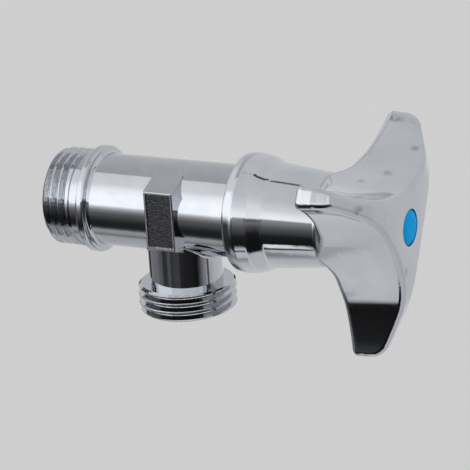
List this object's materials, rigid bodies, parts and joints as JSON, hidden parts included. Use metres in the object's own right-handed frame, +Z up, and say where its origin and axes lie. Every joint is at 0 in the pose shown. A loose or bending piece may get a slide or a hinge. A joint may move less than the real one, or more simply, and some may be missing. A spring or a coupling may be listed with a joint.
{
  "type": "angle shut-off valve",
  "caption": "Angle shut-off valve with threaded inlet and outlet, spanner flats, ceramic disc headwork and a three-arm handle with a blue index button.",
  "frame": {"origin": "on the inlet's axis, where the inlet's full thread begins", "axes": "+X along the inlet's axis towards the handle, +Z up, the outlet pointing down along -Z"},
  "size_m": [0.0806, 0.0525, 0.0464],
  "materials": {
    "plated_brass": "polished chrome plate on brass",
    "plated_zinc": "polished chrome plate on a zinc casting",
    "blue_plastic": "glossy moulded",
    "bare_brass": "turned",
    "screw_steel": "plain",
    "seal_rubber": "matt moulded",
    "white_plastic": "matt moulded",
    "ceramic": "lapped"
  },
  "bodies": {
    "valve": {"valve_body": "plated_brass", "headwork_housing": "bare_brass", "headwork_gasket": "seal_rubber", "lip_seal": "seal_rubber", "seal_support_ring": "white_plastic", "fixed_disc": "ceramic", "slide_washer": "white_plastic"},
    "turning": {"handle": "plated_zinc", "handle_screw": "screw_steel", "screw_spring_washer": "screw_steel", "index_button": "blue_plastic", "spindle": "bare_brass", "spindle_o_ring_inner": "seal_rubber", "spindle_o_ring_outer": "seal_rubber", "circlip": "screw_steel", "moving_disc": "ceramic"}
  },
  "joints": [
    {"name": "handle_turn", "type": "hinge", "parent": "valve", "child": "turning", "pos_m": [0.0434, 0, 0], "axis": [1, 0, 0], "range_deg": [0, 90]}
  ]
}
